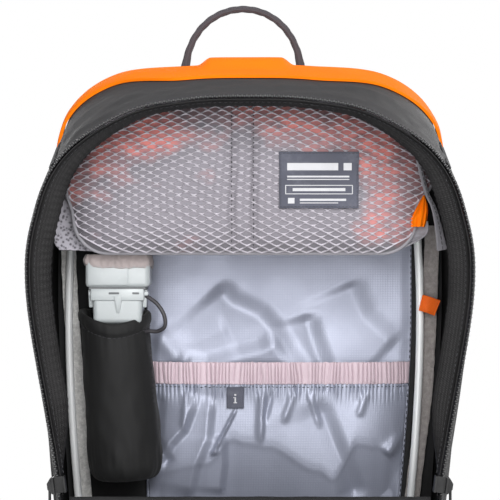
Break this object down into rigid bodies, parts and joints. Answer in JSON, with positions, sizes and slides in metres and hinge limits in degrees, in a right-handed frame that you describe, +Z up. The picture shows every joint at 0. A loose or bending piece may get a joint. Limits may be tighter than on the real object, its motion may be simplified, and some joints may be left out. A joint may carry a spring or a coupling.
{
  "type": "avalanche airbag backpack",
  "caption": "Upright ski-touring backpack with its front unzipped and folded down, showing a mesh airbag pouch, gas inflator and cartridge sleeve, frame rods and lined pocket.",
  "frame": {"origin": "middle of the flat base, under the middle of the pack", "axes": "+Z up; +X to the right seen from the open front; +Y towards the wearer's back"},
  "size_m": [0.3358, 0.6148, 0.604],
  "materials": {
    "black_fabric": "matt woven nylon",
    "grey_fabric": "matt woven nylon",
    "orange_fabric": "coated woven nylon",
    "lining_nylon": "silvery ripstop nylon",
    "pouch_mesh": "diamond mesh",
    "airbag_fabric": "coated ripstop nylon",
    "collar_fabric": "gathered woven tape",
    "elastic_pink": "gathered elastic",
    "hook_tape": "napped tape",
    "neoprene": "matt neoprene",
    "rubber_cord": "matt",
    "white_plastic": "satin",
    "black_plastic": "satin",
    "orange_plastic": "satin",
    "aluminium": "anodised satin",
    "steel": "turned",
    "label_cloth": "woven label"
  },
  "bodies": {
    "pack": {"top_gusset": "grey_fabric", "side_panel_left": "black_fabric", "side_panel_right": "black_fabric", "base_panel": "black_fabric", "release_cover": "orange_fabric", "back_panel": "black_fabric", "lower_front_panel": "black_fabric", "hinge_piping": "black_fabric", "zip_tape_body": "black_fabric", "zip_coil_body": "black_plastic", "back_lining": "lining_nylon", "lining_pocket": "lining_nylon", "pocket_elastic": "elastic_pink", "info_tag": "label_cloth", "frame_rod": "aluminium", "frame_strip_left": "hook_tape", "frame_strip_right": "hook_tape", "airbag_pouch": "pouch_mesh", "airbag": "airbag_fabric", "pouch_label": "label_cloth", "inflator_housing": "white_plastic", "inflator_cover": "white_plastic", "inflator_nozzle": "white_plastic", "airbag_neck": "collar_fabric", "cartridge_sleeve": "neoprene", "retaining_cord": "rubber_cord", "release_cable_inner": "rubber_cord", "pull_tab": "orange_plastic", "lumbar_pad": "black_fabric", "spine_pad": "black_fabric", "strap_webbing_left": "black_fabric", "strap_webbing_right": "black_fabric"},
    "front_flap": {"front_flap": "black_fabric", "flap_pocket": "grey_fabric", "zip_coil_flap": "black_plastic"},
    "zip_slider_left": {"zip_slider_left": "black_plastic"},
    "zip_slider_right": {"zip_slider_right": "black_plastic"},
    "zip_puller_left": {"zip_puller_left": "black_plastic"},
    "zip_puller_right": {"zip_puller_right": "black_plastic"},
    "haul_loop": {"haul_loop": "rubber_cord"},
    "shoulder_strap_left": {"shoulder_strap_left": "black_fabric", "ladder_lock_left": "black_plastic", "handle_pocket": "black_fabric", "release_cable_strap": "rubber_cord"},
    "shoulder_strap_right": {"shoulder_strap_right": "black_fabric", "ladder_lock_right": "black_plastic"},
    "sternum_left": {"sternum_strap_left": "black_fabric", "sternum_buckle_socket": "black_plastic"},
    "sternum_right": {"sternum_strap_right": "black_fabric", "sternum_buckle_plug": "black_plastic"},
    "release_handle": {"release_handle": "orange_plastic"},
    "firing_pin": {"firing_pin": "steel"},
    "gas_cartridge": {"gas_cartridge": "aluminium"},
    "hip_wing_left": {"hip_wing_left": "black_fabric", "hip_webbing_left": "black_fabric", "hip_buckle_socket": "black_plastic"},
    "hip_wing_right": {"hip_wing_right": "black_fabric", "hip_webbing_right": "black_fabric", "hip_buckle_plug": "black_plastic"}
  },
  "joints": [
    {"name": "front_flap_fold", "type": "hinge", "parent": "pack", "child": "front_flap", "pos_m": [0, -0.1245, 0.214], "axis": [1, 0, 0], "range_deg": [-132.5, 0]},
    {"name": "zip_slider_left_travel", "type": "slide", "parent": "pack", "child": "zip_slider_left", "axis": [-0.1306, 0, 0.9914], "range_m": [0, 0.02]},
    {"name": "zip_slider_right_travel", "type": "slide", "parent": "pack", "child": "zip_slider_right", "axis": [0.1306, 0, 0.9914], "range_m": [0, 0.02]},
    {"name": "zip_puller_left_swing", "type": "hinge", "parent": "zip_slider_left", "child": "zip_puller_left", "pos_m": [-0.14782, -0.1237, 0.22587], "axis": [0, 1, 0], "range_deg": [0, 110]},
    {"name": "zip_puller_right_swing", "type": "hinge", "parent": "zip_slider_right", "child": "zip_puller_right", "pos_m": [0.14782, -0.1237, 0.22587], "axis": [0, -1, 0], "range_deg": [0, 110]},
    {"name": "haul_loop_fold", "type": "hinge", "parent": "pack", "child": "haul_loop", "pos_m": [-0.0058, 0.0875, 0.541], "axis": [-1, 0, 0], "range_deg": [-12, 85]},
    {"name": "shoulder_strap_left_swing", "type": "hinge", "parent": "pack", "child": "shoulder_strap_left", "pos_m": [-0.055, 0.0985, 0.472], "axis": [1, 0, 0], "range_deg": [0, 20]},
    {"name": "shoulder_strap_right_swing", "type": "hinge", "parent": "pack", "child": "shoulder_strap_right", "pos_m": [0.055, 0.0985, 0.472], "axis": [1, 0, 0], "range_deg": [0, 20]},
    {"name": "sternum_strap_left_slide", "type": "slide", "parent": "shoulder_strap_left", "child": "sternum_left", "axis": [-0.2217, 0.3324, -0.9167], "range_m": [-0.012, 0.02]},
    {"name": "sternum_strap_right_slide", "type": "slide", "parent": "shoulder_strap_right", "child": "sternum_right", "axis": [0.2217, 0.3324, -0.9167], "range_m": [-0.012, 0.02]},
    {"name": "release_handle_pull", "type": "slide", "parent": "shoulder_strap_left", "child": "release_handle", "axis": [-0.2106, 0.0103, -0.9775], "range_m": [0, 0.05]},
    {"name": "firing_pin_stroke", "type": "slide", "parent": "pack", "child": "firing_pin", "axis": [0, 0, -1], "range_m": [0, 0.0018]},
    {"name": "gas_cartridge_screw", "type": "hinge", "parent": "pack", "child": "gas_cartridge", "pos_m": [-0.1055, 0.006, 0.335], "axis": [-0.0611, 0, 0.9981], "continuous": true},
    {"name": "hip_wing_left_fold", "type": "hinge", "parent": "pack", "child": "hip_wing_left", "pos_m": [-0.104, 0.1, 0.088], "axis": [0, 0, 1], "range_deg": [0, 34]},
    {"name": "hip_wing_right_fold", "type": "hinge", "parent": "pack", "child": "hip_wing_right", "pos_m": [0.104, 0.1, 0.088], "axis": [0, 0, -1], "range_deg": [0, 34]}
  ],
  "couplings": [
    {"joint": "firing_pin_stroke", "follows": "release_handle_pull", "ratio": 0.036}
  ]
}
